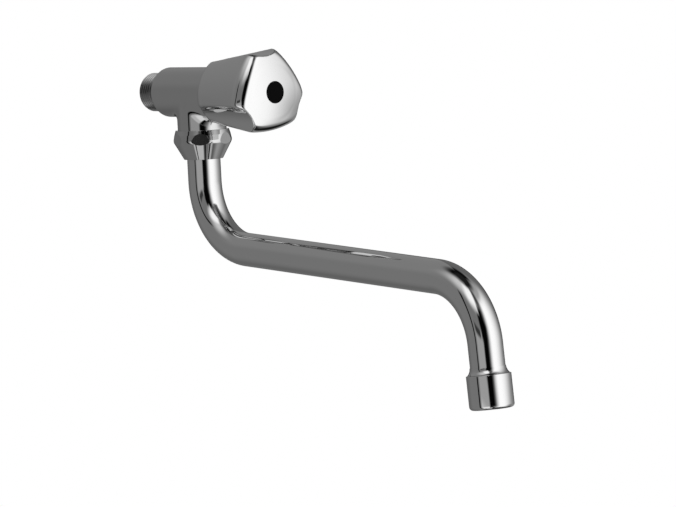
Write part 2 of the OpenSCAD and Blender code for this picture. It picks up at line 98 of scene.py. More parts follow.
def addNode(tree, kind, inputs=None, **settings):
    node = tree.nodes.new(kind)
    for name, value in settings.items():
        setattr(node, name, value)
    for socket, value in (inputs or {}).items():
        if isinstance(value, bpy.types.NodeSocket):
            tree.links.new(value, node.inputs[socket])
        else:
            node.inputs[socket].default_value = value
    return node


# studio: grey walls with soft boxes and black cards, which the chrome mirrors

studioCards = {  # degrees round from the camera and up from level (fades in, then out), and tone
    "rightWall": {"across": (90, 140, 190, 200), "up": (-58, -47, 65, 76), "tone": 0.19},
    "leftHigh": {"across": (-200, -190, -105, -75), "up": (8, 30, 60, 72), "tone": 0.33},
    "leftLow": {"across": (-200, -190, -150, -108), "up": (-64, -50, 0, 24), "tone": 0.19},
    "frontFill": {"across": (-57, -50, 0, 6), "up": (-100, -95, 10, 18), "tone": 0.55},
    "frontFillLow": {"across": (-57, -50, 0, 6), "up": (-100, -95, -7, -3), "tone": 0.92},
    "leftBox": {"across": (-112, -60, -7, 6), "up": (26, 58, 65, 76), "tone": 0.95},
    "leftBoxCore": {"across": (-52, -30, -8, 10), "up": (27, 49, 62, 74), "tone": 1.6},
    "rightBox": {"across": (16, 45, 54, 148), "up": (-56, -37, 43, 74), "tone": 1.72},
    "rightBoxFoot": {"across": (70, 118, 190, 200), "up": (-100, -95, -14, 4), "tone": 0.36},
    "rightBoxTop": {"across": (18, 36, 133, 176), "up": (51, 63, 59, 72), "tone": 0.55},
    "table": {"across": (31, 59, 129, 150), "up": (-100, -95, -58, -48), "tone": 0.17},
    "tableEdge": {"across": (112, 138, 162, 174), "up": (-78, -62, -39, -27), "tone": 0.012},
    "underTable": {"across": (42, 58, 150, 170), "up": (-100, -95, -67, -59), "tone": 0.02},
    "tableFront": {"across": (-54, -44, -14, -6), "up": (-56, -44, -26, -14), "tone": 1.35},
    "boxGap": {"across": (-68, -65, -61, -58), "up": (-50, -42, 26, 38), "tone": 0},
    "lowGap": {"across": (-47, -44, -41, -38), "up": (-100, -95, -54, -50), "tone": 0},
    "bar": {"across": (-64, -52, -18, -10), "up": (9, 18, 23, 31), "tone": 0.27},
    "barFoot": {"across": (-56, -47, -26, -18), "up": (3, 8, 11, 16), "tone": 0.06},
    "cameraCard": {"across": (-20, -12, 4, 24), "up": (0, 10, 23, 33), "tone": 0.003},
    "blackFlag": {"across": (-15, -7, 11, 29), "up": (-9, -4, 20, 30), "tone": 0.002},
    "blackFlagFoot": {"across": (-15, -7, 0, 20), "up": (-46, -40, -8, -3), "tone": 0.002},
    "blackFlagLeft": {"across": (-22, -12, 2, 10), "up": (14, 22, 29, 37), "tone": 0.002},
    "blackFlagTop": {"across": (-7, -2, 8, 27), "up": (12, 22, 38, 54), "tone": 0.002},
    "lowFlag": {"across": (8, 11, 17, 24), "up": (-100, -95, -46, -38), "tone": 0.01},
    "flagTop": {"across": (-6, 8, 16, 34), "up": (42, 54, 60, 80), "tone": 0.1},
    "ceiling": {"across": (-195, -178, -117, -58), "up": (58, 76, 95, 106), "tone": 0.003},
    "ceilingRight": {"across": (105, 133, 190, 200), "up": (52, 68, 95, 106), "tone": 0.004},
    "ceilingFront": {"across": (-22, -6, 190, 200), "up": (68, 78, 95, 106), "tone": 0.01},
    "zenith": {"across": (-200, -190, 190, 200), "up": (74, 83, 95, 106), "tone": 0.02},
    "nadir": {"across": (-200, -190, 190, 200), "up": (-106, -95, -77, -68), "tone": 0.03},
    "inletShade": {"across": (146, 156, 190, 200), "up": (-18, -11, 8, 18), "tone": 0.04},
    "inletShadeLeft": {"across": (-200, -190, -168, -154), "up": (-18, -11, 5, 14), "tone": 0.04},
    "paperLeft": {"across": (-200, -190, -178, -176), "up": (-12, -9, 3, 6), "tone": 0.7},
    "paperRight": {"across": (176, 178, 190, 200), "up": (-12, -9, 3, 6), "tone": 0.7},
}
studioTone = 0.285


def lightStudio(cards, tone):
    world = bpy.data.worlds.new("studio")
    bpy.context.scene.world = world
    world.use_nodes = True
    tree = world.node_tree
    tree.nodes.clear()
    ray = addNode(tree, "ShaderNodeTexCoord")
    split = addNode(tree, "ShaderNodeSeparateXYZ", {0: ray.outputs["Generated"]})
    away = addNode(tree, "ShaderNodeMath", {0: split.outputs["Y"], 1: -1}, operation="MULTIPLY")
    turn = addNode(tree, "ShaderNodeMath", {0: split.outputs["X"], 1: away.outputs[0]},
                   operation="ARCTAN2")
    degrees = addNode(tree, "ShaderNodeMath", {0: turn.outputs[0]}, operation="DEGREES")
    fromCamera = addNode(tree, "ShaderNodeMath", {0: degrees.outputs[0], 1: cameraView["azimuth"]},
                         operation="SUBTRACT")
    around = addNode(tree, "ShaderNodeMath", {0: fromCamera.outputs[0], 1: 180, 2: -180},
                     operation="WRAP")
    rise = addNode(tree, "ShaderNodeMath", {0: split.outputs["Z"]}, operation="ARCSINE")
    height = addNode(tree, "ShaderNodeMath", {0: rise.outputs[0]}, operation="DEGREES")
    colour = (tone, tone, tone, 1)
    for name, card in cards.items():
        mask = 1.0
        for angle, edges in ((around, card["across"]), (height, card["up"])):
            for start, end in (edges[:2], edges[:1:-1]):
                edge = {"Value": angle.outputs[0], "From Min": start, "From Max": end,
                        "To Max": mask}
                fade = addNode(tree, "ShaderNodeMapRange", edge, interpolation_type="SMOOTHSTEP")
                mask = fade.outputs[0]
        level = (card["tone"],) * 3 + (1,)
        mix = addNode(tree, "ShaderNodeMix", {0: mask, 6: colour, 7: level}, data_type="RGBA",
                      label=name)
        colour = mix.outputs[2]
    room = addNode(tree, "ShaderNodeBackground", {"Color": colour, "Strength": 1})
    paper = addNode(tree, "ShaderNodeBackground", {"Color": (1, 1, 1, 1), "Strength": 1})
    path = addNode(tree, "ShaderNodeLightPath")
    shown = addNode(tree, "ShaderNodeMixShader", {0: path.outputs["Is Camera Ray"],
                                                  1: room.outputs[0], 2: paper.outputs[0]})
    addNode(tree, "ShaderNodeOutputWorld", {"Surface": shown.outputs[0]})


lightStudio(studioCards, studioTone)


paperFloor = {
    "under": 0.6,  # m below the origin
    "ahead": -0.112,  # m towards the user, under the middle of the spout
    "radius": 0.9,
    "around": 96,
    "fade": (0.5, 0.98),  # shares of the radius between which the paper turns plain white
    "paper": "#e8e8e6",
    "glow": 0.62,
}


def makeFloor(v):
    bpy.ops.mesh.primitive_circle_add(vertices=v["around"], radius=v["radius"], fill_type="NGON",
                                      location=(0, v["ahead"], -v["under"]))
    floor = bpy.context.object
    floor.name = "paperFloor"
    material = bpy.data.materials.new("matt white paper")
    material.use_nodes = True
    tree = material.node_tree
    tree.nodes.clear()
    lit = addNode(tree, "ShaderNodeBsdfDiffuse", {"Color": linearColour(v["paper"])})
    glow = addNode(tree, "ShaderNodeEmission", {"Strength": v["glow"]})
    both = addNode(tree, "ShaderNodeAddShader", {0: lit.outputs[0], 1: glow.outputs[0]})
    path = addNode(tree, "ShaderNodeLightPath")
    seen = addNode(tree, "ShaderNodeMixShader", {0: path.outputs["Is Camera Ray"],
                                                 1: lit.outputs[0], 2: both.outputs[0]})
    plain = addNode(tree, "ShaderNodeEmission", {"Strength": 1})
    spot = addNode(tree, "ShaderNodeTexCoord")
    far = addNode(tree, "ShaderNodeVectorMath", {0: spot.outputs["Object"]}, operation="LENGTH")
    start, end = (v["radius"] * share for share in v["fade"])
    rim = addNode(tree, "ShaderNodeMapRange", {"Value": far.outputs["Value"], "From Min": start,
                                               "From Max": end},
                  interpolation_type="SMOOTHSTEP")
    fade = addNode(tree, "ShaderNodeMath", {0: rim.outputs[0], 1: path.outputs["Is Camera Ray"]},
                   operation="MULTIPLY")
    surface = addNode(tree, "ShaderNodeMixShader", {0: fade.outputs[0], 1: seen.outputs[0],
                                                    2: plain.outputs[0]})
    addNode(tree, "ShaderNodeOutputMaterial", {"Surface": surface.outputs[0]})
    floor.data.materials.append(material)
    floor.visible_glossy = False  # the studio's own lower half is what the chrome mirrors


makeFloor(paperFloor)
bpy.context.scene.view_settings.view_transform = "Standard"
print("studio lit")


# materials

def newMaterial(name, colour, metallic, roughness):
    material = bpy.data.materials.new(name)
    material.use_nodes = True
    shader = material.node_tree.nodes["Principled BSDF"]
    shader.inputs["Base Color"].default_value = linearColour(colour)
    shader.inputs["Metallic"].default_value = metallic
    shader.inputs["Roughness"].default_value = roughness
    return material, material.node_tree, shader


chromeFinish = {
    "colour": "#c6c6c6",
    "polish": (0.035, 0.06),  # roughness, from the clearest spots to the haziest
    "hazeBand": (0.3, 0.75),  # the part of the noise that is spread over them
    "swirl": 0.9 * mm,
    "ripple": 14 * mm,
    "rippleDepth": 0.012 * mm,
}


def polishedChrome(name, v, rippleShare=1.0):
    # chrome plate over buffed brass or zinc: a near mirror, with faint buffing haze and a
    # casting's long soft ripple
    material, tree, shader = newMaterial(name, v["colour"], 1.0, v["polish"][0])
    where = addNode(tree, "ShaderNodeTexCoord")
    haze = addNode(tree, "ShaderNodeTexNoise", {"Vector": where.outputs["Object"],
                                                "Scale": 1 / v["swirl"], "Detail": 3})
    low, high = v["hazeBand"]
    rough = addNode(tree, "ShaderNodeMapRange", {"Value": haze.outputs["Fac"], "From Min": low,
                                                 "From Max": high, "To Min": v["polish"][0],
                                                 "To Max": v["polish"][1]})
    tree.links.new(rough.outputs[0], shader.inputs["Roughness"])
    wave = addNode(tree, "ShaderNodeTexNoise", {"Vector": where.outputs["Object"],
                                                "Scale": 1 / v["ripple"], "Detail": 1})
    bump = addNode(tree, "ShaderNodeBump", {"Height": wave.outputs["Fac"], "Strength": 1,
                                            "Distance": v["rippleDepth"] * rippleShare})
    tree.links.new(bump.outputs[0], shader.inputs["Normal"])
    return material


castChrome = polishedChrome("chrome plated zinc casting", chromeFinish)
# the brass castings' plate is painted a little greyer than the handle's, as painted shade
shadedBrassFinish = {**chromeFinish, "colour": "#b5b5b5"}
shadedBrassChrome = polishedChrome("chrome plated brass casting", shadedBrassFinish)
# a drawn tube has less of the ripple than a casting
drawnChrome = polishedChrome("chrome plated drawn tube", chromeFinish, rippleShare=0.3)
# on the threads the plate is painted greyer, as painted shade, and is rougher, so that it spreads
# its reflections
shadedThreadFinish = {**chromeFinish, "colour": "#909090", "polish": (0.13, 0.2)}
shadedThreadChrome = polishedChrome("chrome plated threads, painted shade", shadedThreadFinish)


brassTurning = {"colour": "#c9a55a", "roughness": 0.28, "between": (0.2, 0.38),
                "toolMarks": 0.4 * mm}


def machinedBrass(v):
    # free-cutting brass, turned: warm, with fine tool marks that widen the highlight
    fine, coarse = v["between"]
    material, tree, shader = newMaterial("turned brass", v["colour"], 1.0, v["roughness"])
    where = addNode(tree, "ShaderNodeTexCoord")
    marks = addNode(tree, "ShaderNodeTexNoise", {"Vector": where.outputs["Object"],
                                                 "Scale": 1 / v["toolMarks"], "Detail": 4})
    rough = addNode(tree, "ShaderNodeMapRange", {"Value": marks.outputs["Fac"], "To Min": fine,
                                                 "To Max": coarse})
    tree.links.new(rough.outputs[0], shader.inputs["Roughness"])
    return material


speckleBand = (0.3, 0.7)  # the part of the noise over which a speckled colour changes


def softSpeckle(name, colour, dark, metallic, roughness, grain):
    # a plain surface whose tone drifts a little over the given grain
    material, tree, shader = newMaterial(name, colour, metallic, roughness)
    where = addNode(tree, "ShaderNodeTexCoord")
    noise = addNode(tree, "ShaderNodeTexNoise", {"Vector": where.outputs["Object"],
                                                 "Scale": 1 / grain, "Detail": 3})
    ramp = addNode(tree, "ShaderNodeValToRGB", {"Fac": noise.outputs["Fac"]})
    for stop, place, shade in zip(ramp.color_ramp.elements, speckleBand, (dark, colour)):
        stop.position = place
        stop.color = linearColour(shade)
    tree.links.new(ramp.outputs[0], shader.inputs["Base Color"])
    return material


brass = machinedBrass(brassTurning)
# moulded, so it is matt and nearly black
rubber = softSpeckle("EPDM rubber", "#1c1c1c", "#151515", metallic=0, roughness=0.6,
                     grain=0.8 * mm)
# moulded and left uncoloured: milky, with a soft shine
acetal = softSpeckle("natural acetal", "#e6e3da", "#dcd8cc", metallic=0, roughness=0.35,
                     grain=2 * mm)
# stamped and tumbled: a grey metal with a broad highlight
springSteel = softSpeckle("spring steel", "#a8abae", "#92969a", metallic=1, roughness=0.32,
                          grain=0.6 * mm)
# woven from bright wire, a little clearer than the spring steel
meshSteel = softSpeckle("stainless wire cloth", "#b4b6b8", "#9da0a3", metallic=1, roughness=0.25,
                        grain=0.5 * mm)
# moulded with a fine satin face that gives back almost none of the studio
satinBlack = softSpeckle("black ABS, fine satin", "#020202", "#010101", metallic=0,
                         roughness=0.42, grain=1.5 * mm)
satinSheen = 0.03
satinShader = satinBlack.node_tree.nodes["Principled BSDF"]
satinShader.inputs["Specular IOR Level"].default_value = satinSheen
print("materials ready")


# modelling helpers

def selectOnly(piece):
    bpy.ops.object.select_all(action="DESELECT")
    piece.select_set(True)
    bpy.context.view_layer.objects.active = piece


def editAll(piece):
    selectOnly(piece)
    bpy.ops.object.mode_set(mode="EDIT")
    bpy.ops.mesh.select_all(action="SELECT")


def leaveEdit():
    bpy.ops.object.mode_set(mode="OBJECT")


def applyModifier(piece, kind, **settings):
    selectOnly(piece)
    modifier = piece.modifiers.new(kind, kind)
    for name, value in settings.items():
        setattr(modifier, name, value)
    bpy.ops.object.modifier_apply(modifier=modifier.name)


def cutWith(piece, tool, operation="DIFFERENCE"):
    applyModifier(piece, "BOOLEAN", object=tool, operation=operation, solver="EXACT")
    bpy.data.objects.remove(tool)


def roundEdges(piece, radius, degrees, segments=3):
    # bevels every edge sharper than the given angle
    editAll(piece)
    bpy.ops.mesh.remove_doubles(threshold=weldGap)
    bpy.ops.mesh.select_all(action="DESELECT")
    bpy.ops.mesh.select_mode(type="EDGE")
    bpy.ops.mesh.edges_select_sharp(sharpness=math.radians(degrees))
    bpy.ops.mesh.bevel(offset=radius, segments=segments, affect="EDGES", clamp_overlap=True)
    bpy.ops.mesh.select_mode(type="VERT")
    leaveEdit()


def smoothBy(piece, degrees):
    selectOnly(piece)
    bpy.ops.object.shade_smooth_by_angle(angle=math.radians(degrees))


def roundedOutline(corners, steps=6):
    # corners are (radius, height, rounding); a rounding of 0 leaves the corner sharp
    points = []
    count = len(corners)
    for i, (r, z, rounding) in enumerate(corners):
        here = Vector((r, z))
        if rounding == 0:
            points.append(here)
            continue
        before = (Vector(corners[i - 1][:2]) - here).normalized()
        after = (Vector(corners[(i + 1) % count][:2]) - here).normalized()
        half = before.angle(after) / 2
        reach = rounding / math.tan(half)
        centre = here + (before + after).normalized() * rounding / math.sin(half)
        start, end = here + before * reach, here + after * reach
        for k in range(steps + 1):
            arm = (start - centre).lerp(end - centre, k / steps)
            points.append(centre + arm.normalized() * rounding)
    return points


def turned(name, outline, place=Matrix(), segments=160):
    # spins an outline of (radius, height) about the upright axis and sets it in place
    mesh = bpy.data.meshes.new(name)
    count = len(outline)
    edges = [(i, (i + 1) % count) for i in range(count)]
    mesh.from_pydata([(r, 0, z) for r, z in outline], edges, [])
    piece = bpy.data.objects.new(name, mesh)
    bpy.context.scene.collection.objects.link(piece)
    editAll(piece)
    bpy.ops.mesh.spin(steps=segments, angle=2 * math.pi, center=(0, 0, 0), axis=(0, 0, 1))
    bpy.ops.mesh.select_all(action="SELECT")
    bpy.ops.mesh.remove_doubles(threshold=weldGap)
    bpy.ops.mesh.delete_loose()
    bpy.ops.mesh.select_all(action="SELECT")
    bpy.ops.mesh.normals_make_consistent(inside=False)
    leaveEdit()
    piece.data.transform(place)
    return piece


def prism(name, sides, radius, low, high, place=Matrix(), turn=0.0):
    bpy.ops.mesh.primitive_cylinder_add(vertices=sides, radius=radius, depth=high - low,
                                        location=(0, 0, (low + high) / 2), rotation=(0, 0, turn))
    piece = bpy.context.object
    piece.name = name
    bpy.ops.object.transform_apply()
    piece.data.transform(place)
    return piece


def finish(piece, body, slot, material, *nodes, angle=30.0):
    piece.data.materials.clear()
    piece.data.materials.append(material)
    smoothBy(piece, angle)
    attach(piece, body)
    if nodes:
        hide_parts(*nodes)
    print("made", piece.name)


alongBody = Matrix.Rotation(math.pi / 2, 4, "X")  # an upright piece's height becomes -Y
onSwivel = Matrix.Translation((0, swivelAxis.y, 0))


# valve body: a horizontal barrel that flows into its neck

bodySizes = {"radius": 13.5, "length": 47, "rearEdge": 2.7, "neckRadius": 13.2, "neckEnd": 29,
             "blend": 6.2, "leastBlend": 0.02, "around": 96, "grain": 0.5}  # mm


def bodyDistance(p, v):
    # distance in mm from the blended surface of barrel and neck, negative inside it
    neck = -swivelAxis.y / mm
    x, t, z = p[:, 0], -p[:, 1], p[:, 2]
    r = np.hypot(x, z)
    edge = v["rearEdge"]
    barrel = np.where(t < edge, np.hypot(np.maximum(r - v["radius"] + edge, 0), edge - t) - edge,
                      r - v["radius"])
    barrel = np.maximum(barrel, t - v["length"])
    rn = np.hypot(x, t - neck)
    stub = np.maximum(np.maximum(rn - v["neckRadius"], -v["neckEnd"] - z), z)
    facing = x * x / np.maximum(r * rn, 1e-6)  # 1 where the two surfaces lie along each other
    blend = v["blend"] * np.clip(1 - facing ** 2, v["leastBlend"], 1)
    near = np.maximum(blend - np.abs(barrel - stub), 0) / blend
    return np.minimum(barrel, stub) - near * near * blend / 4


drawing = {"probe": 0.01, "leastSlope": 0.05, "longestMove": 0.6, "rounds": 6}  # mm and counts


def drawnToSurface(piece, distance, v):
    # moves each vertex along the field's slope until it lies on the surface
    count = len(piece.data.vertices)
    p = np.zeros(count * 3)
    piece.data.vertices.foreach_get("co", p)
    p = p.reshape(-1, 3) / mm
    step = v["probe"]
    for _ in range(v["rounds"]):
        d = distance(p)
        slope = np.stack([(distance(p + step * axis) - distance(p - step * axis)) / (2 * step)
                          for axis in np.eye(3)], axis=1)
        steep = np.maximum((slope ** 2).sum(1), v["leastSlope"])
        p -= np.clip(d / steep, -v["longestMove"], v["longestMove"])[:, None] * slope
    piece.data.vertices.foreach_set("co", (p * mm).ravel())
    piece.data.update()


def makeBody(v):
    barrel = prism("tapBody", v["around"], v["radius"] * mm, 0, v["length"] * mm, alongBody)
    neck = prism("neck", v["around"], v["neckRadius"] * mm, -v["neckEnd"] * mm, 0, onSwivel)
    cutWith(barrel, neck, "UNION")
    applyModifier(barrel, "REMESH", mode="VOXEL", voxel_size=v["grain"] * mm)
    drawnToSurface(barrel, lambda p: bodyDistance(p, v), drawing)
    return barrel


tapBody = makeBody(bodySizes)
print("body blended")


# inlet: the threaded shank behind the body

inletSizes = {"radius": 10.478, "length": 13.2, "chamfer": 0.9, "pitch": 1.814, "depth": 1.1,
              "crest": 0.3, "overcut": 0.15, "runout": 1.3, "around": 72,
              "shadedFrom": 0.2}  # mm, a half-inch pipe thread


def makeInlet(v):
    outline = [(0, overlap), (v["radius"], overlap), (v["radius"], v["chamfer"] - v["length"]),
               (v["radius"] - v["chamfer"], -v["length"]), (0, -v["length"])]
    shank = turned("inletShank", [(r * mm, z * mm) for r, z in outline], alongBody)
    half = (v["pitch"] - v["crest"]) / 2
    start = -v["runout"]
    outer, root = v["radius"] + v["overcut"], v["radius"] - v["depth"]
    notch = [(outer, start), (root, start - half), (outer, start - 2 * half)]
    mesh = bpy.data.meshes.new("threadTool")
    mesh.from_pydata([(r * mm, 0, z * mm) for r, z in notch], [(0, 1), (1, 2), (2, 0)], [])
    tool = bpy.data.objects.new("threadTool", mesh)
    bpy.context.scene.collection.objects.link(tool)
    turns = int((v["length"] - v["runout"]) / v["pitch"]) + 1
    applyModifier(tool, "SCREW", angle=2 * math.pi, screw_offset=-v["pitch"] * mm, iterations=turns,
                  steps=v["around"], render_steps=v["around"], axis="Z")
    editAll(tool)
    bpy.ops.mesh.select_all(action="DESELECT")
    bpy.ops.mesh.select_non_manifold()
    bpy.ops.mesh.edge_face_add()
    bpy.ops.mesh.select_all(action="SELECT")
    bpy.ops.mesh.fill_holes(sides=4)
    bpy.ops.mesh.normals_make_consistent(inside=False)
    leaveEdit()
    tool.data.transform(alongBody)
    cutWith(shank, tool)
    return shank


cutWith(tapBody, makeInlet(inletSizes), "UNION")
print("inlet threaded")

waterway = {"inletBore": 7.5, "seatHole": 5.5, "seatWall": (15, 19), "seatLip": (6.6, 0.8),
            "chamber": 9.3, "threadBore": 10.05, "threadFrom": 37.7, "port": 7.5, "portTop": -2,
            "neckBore": 10.58, "neckBoreTop": 14}  # mm


def cutWaterway(piece, v):
    low, high = v["seatWall"]
    lip, lipHeight = v["seatLip"]
    back, front = -inletSizes["length"] - overlap, bodySizes["length"] + overlap
    outline = [(0, back), (v["inletBore"], back), (v["inletBore"], low), (v["seatHole"], low),
               (v["seatHole"], high), (lip, high), (lip, high - lipHeight),
               (v["chamber"], high - lipHeight), (v["chamber"], v["threadFrom"]),
               (v["threadBore"], v["threadFrom"]), (v["threadBore"], front), (0, front)]
    cutWith(piece, turned("bores", [(r * mm, z * mm) for r, z in outline], alongBody))
    end = -bodySizes["neckEnd"] - overlap
    top, step = v["portTop"], -v["neckBoreTop"]
    outline = [(0, top), (v["port"], top), (v["port"], step), (v["neckBore"], step),
               (v["neckBore"], end), (0, end)]
    cutWith(piece, turned("port", [(r * mm, z * mm) for r, z in outline], onSwivel))


cutWaterway(tapBody, waterway)
editAll(tapBody)
bpy.ops.mesh.remove_doubles(threshold=weldGap)
leaveEdit()
# the body takes the chrome copy that is painted greyer, as painted shade
finish(tapBody, "tap_body", "chrome", shadedBrassChrome, "valve_body", angle=35)
# faces behind the body's rear take the threads' chrome, which is painted greyer still as painted
# shade
tapBody.data.materials.append(shadedThreadChrome)
for face in tapBody.data.polygons:
    if face.center.y > inletSizes["shadedFrom"] * mm:
        face.material_index = 1


# handle: a die-cast knob with bulging sides and finger grooves between them

handleSizes = {"rear": 45.5, "face": 92.3, "widest": 83.0, "turn": 36.5, "cornerRadius": 24.3,
               "sideRadius": 20.7, "sideCurve": 60, "sideSlope": 0.14, "shoulder": (18.7, 5.5),
               "rimRadius": 14.9, "grooveRadius": 13, "grooveFloor": (16.6, 19.8), "dome": 80,
               "sideBow": 9, "cornerBow": 8, "bowSink": 0.1,
               "soft": {"side": 1.6, "groove": 1.2, "face": 0.33, "rear": 0.7}}  # mm and degrees
handleMesh = {"centre": 70.0, "reach": 45.0, "around": 300, "rings": 200,
              "halvings": 40}  # mm and counts


def softMax(a, b, blend):
    # the larger of two distances, with their crossing rounded over the blend
    near = np.maximum(blend - np.abs(a - b), 0) / blend
    return np.maximum(a, b) + near * near * blend / 4


def bowedWall(r, t, wide, radius, bow, sink):
    # distance from a wall of the given radius that bows in past the widest place and then ends;
    # inside the bow it falls away, so that only the dome shapes the face
    inside = np.maximum(wide - bow - r, 0)
    past = np.hypot(np.maximum(r - wide + bow, 0), t) - bow - sink * inside ** 2
    return np.where(t > 0, past, r - radius)


def handleDistance(p, v):
    # p is in the handle's own frame: x and y across it, z from the wall face to the user
    x, y, t = p[:, 0], p[:, 1], p[:, 2]
    r = np.hypot(x, y)
    ahead = t - v["widest"]
    shoulder, rise = v["shoulder"]
    up = np.clip((t - v["rear"]) / rise, 0, 1)
    curve = v["rimRadius"] + (shoulder - v["rimRadius"]) * np.sqrt(1 - (1 - up) ** 2)
    run = v["widest"] - v["rear"] - rise
    cone = shoulder + (v["cornerRadius"] - shoulder) * (t - v["rear"] - rise) / run
    wall = np.where(t < v["rear"] + rise, curve, cone)
    d = bowedWall(r, ahead, v["cornerRadius"], wall, v["cornerBow"], v["bowSink"])
    setOff = v["sideCurve"] - v["sideRadius"]
    for k in range(3):
        a = math.radians(120 * k)
        side = np.hypot(x + setOff * math.cos(a), y + setOff * math.sin(a))
        leaning = v["sideCurve"] + v["sideSlope"] * ahead
        flank = bowedWall(side, ahead, v["sideCurve"], leaning, v["sideBow"], v["bowSink"])
        d = softMax(d, flank, v["soft"]["side"])
    rearFloor, frontFloor = v["grooveFloor"]
    slope = (frontFloor - rearFloor) / (v["face"] - v["rear"])
    lean = math.cos(math.atan(slope))
    for k in range(3):
        a = math.radians(60 + 120 * k)
        out = x * math.cos(a) + y * math.sin(a)
        across = y * math.cos(a) - x * math.sin(a)
        axis = rearFloor + slope * (t - v["rear"])
        groove = v["grooveRadius"] - np.hypot((out - axis) * lean - v["grooveRadius"], across)
        d = softMax(d, groove, v["soft"]["groove"])
    dome = np.sqrt(x ** 2 + y ** 2 + (t - v["face"] + v["dome"]) ** 2) - v["dome"]
    d = softMax(d, dome, v["soft"]["face"])
    return softMax(d, v["rear"] - t, v["soft"]["rear"])


def makeHandle(v, mesh):
    # a sphere whose vertices move out from the centre until they lie on the handle's surface
    centre = np.array([0, 0, mesh["centre"]])
    bpy.ops.mesh.primitive_uv_sphere_add(segments=mesh["around"], ring_count=mesh["rings"],
                                         radius=1)
    handle = bpy.context.object
    handle.name = "handleShell"
    count = len(handle.data.vertices)
    ways = np.zeros(count * 3)
    handle.data.vertices.foreach_get("co", ways)
    ways = ways.reshape(-1, 3)
    ways /= np.linalg.norm(ways, axis=1)[:, None]
    near, far = np.zeros(count), np.full(count, mesh["reach"])
    for _ in range(mesh["halvings"]):
        middle = (near + far) / 2
        outside = handleDistance(centre + ways * middle[:, None], v) > 0
        far = np.where(outside, middle, far)
        near = np.where(outside, near, middle)
    p = centre + ways * near[:, None]
    handle.data.vertices.foreach_set("co", (p * mm).ravel())
    handle.data.update()
    return handle


hollow = {"bore": 13.8, "boreTo": 55, "wide": 17.1, "wideTo": 86, "front": 88, "frontStep": 2,
          "boss": 8.26, "bossFrom": 67.3, "hexagon": 6.25, "hexagonTo": 79.5, "screwHole": 2.3,
          "headHole": 3.9, "webTo": 82, "capSeat": 84.7, "cap": 5.95,
          "open": 94}  # mm, heights from the wall face


def hollowHandle(piece, v):
    rear = handleSizes["rear"] - overlap
    outline = [(0, rear), (v["bore"], rear), (v["bore"], v["boreTo"]), (v["wide"], v["wideTo"]),
               (v["wide"] - v["frontStep"], v["front"]), (v["boss"], v["front"]),
               (v["boss"], v["bossFrom"]), (0, v["bossFrom"])]
    cutWith(piece, turned("cavity", [(r * mm, z * mm) for r, z in outline]))
    cutWith(piece, prism("hexagon", 6, v["hexagon"] / math.cos(math.pi / 6) * mm,
                         (v["bossFrom"] - overlap) * mm, v["hexagonTo"] * mm))
    start = v["hexagonTo"] - overlap
    outline = [(0, start), (v["screwHole"], start), (v["screwHole"], v["webTo"]),
               (v["headHole"], v["webTo"]), (v["headHole"], v["capSeat"]), (v["cap"], v["capSeat"]),
               (v["cap"], v["open"]), (0, v["open"])]
    cutWith(piece, turned("capSeat", [(r * mm, z * mm) for r, z in outline]))


handle = makeHandle(handleSizes, handleMesh)
hollowHandle(handle, hollow)
handle.data.transform(alongBody @ Matrix.Rotation(math.radians(handleSizes["turn"]), 4, "Z"))
finish(handle, "handle", "chrome", castChrome, "handle_shell", angle=40)


# index cap: a thin-walled plug that lies just under the handle's dome

capSizes = {"radius": 5.9, "back": 84.7, "wall": 1.0, "skirt": 5.0, "edge": 0.25, "sunk": 0.15,
            "backEdge": 0.1, "innerEdge": 0.3, "domeSteps": 6}  # mm


def makeCap(v):
    r, inner = v["radius"], v["radius"] - v["wall"]
    front, dome = handleSizes["face"] - v["sunk"], handleSizes["dome"]
    out = [r * k / v["domeSteps"] for k in range(v["domeSteps"] + 1)]
    bow = [(x, front - dome + math.sqrt(dome ** 2 - x ** 2)) for x in out]
    outline = [(inner, v["back"], 0), (r, v["back"], v["backEdge"]), (*bow[-1], v["edge"])]
    outline += [(*point, 0) for point in bow[-2::-1]]
    floor = v["back"] + v["skirt"]
    outline += [(0, floor, 0), (inner, floor, v["innerEdge"])]
    cap = turned("indexCap", [p * mm for p in roundedOutline(outline)], alongBody)
    finish(cap, "handle", "black_plastic", satinBlack, "index_cap")


makeCap(capSizes)


# spout nut: a hexagon turned to a cone above and below its ridge

nutSizes = {"flats": 29.9, "shoulder": (14.42, -20.1), "shoulderEdge": 0.15,
            "swell": (15.2, -22.6), "swellRounding": 2.5, "ridge": (15.93, -26.3),
            "ridgeRounding": 3.2, "foot": (10.5, -36.0), "footEdge": 0.2, "turn": 17.0,
            "edge": 0.5, "sharp": 8, "around": 192, "bore": 9.3, "floor": -32.7, "chamber": 11.5,
            "thread": 13.25, "mouth": -29.3}  # mm and degrees


def makeNut(v):
    (topR, topZ), (footR, footZ) = v["shoulder"], v["foot"]
    outline = [(0, footZ, 0), (footR, footZ, v["footEdge"]), (*v["ridge"], v["ridgeRounding"]),
               (*v["swell"], v["swellRounding"]), (topR, topZ, v["shoulderEdge"]), (0, topZ, 0)]
    nut = turned("spoutNut", [p * mm for p in roundedOutline(outline)], onSwivel, v["around"])
    under, over = footZ - overlap, topZ + overlap
    flats = prism("flats", 6, v["flats"] / 2 / math.cos(math.pi / 6) * mm, under * mm, over * mm,
                  onSwivel @ Matrix.Rotation(math.radians(v["turn"]), 4, "Z"), math.pi / 6)
    cutWith(nut, flats, "INTERSECT")
    roundEdges(nut, v["edge"] * mm, v["sharp"])
    outline = [(0, under), (v["bore"], under), (v["bore"], v["floor"]), (v["chamber"], v["floor"]),
               (v["chamber"], v["mouth"]), (v["thread"], v["mouth"]), (v["thread"], over),
               (0, over)]
    cutWith(nut, turned("nutBore", [(r * mm, z * mm) for r, z in outline], onSwivel, v["around"]))
    # the nut takes the chrome copy that is painted greyer, as painted shade
    finish(nut, "tap_body", "chrome", shadedBrassChrome, "spout_nut", angle=20)
    applyModifier(nut, "WEIGHTED_NORMAL", keep_sharp=True)  # so that the flats mirror as flats


makeNut(nutSizes)


# spout: one drawn tube with two bends

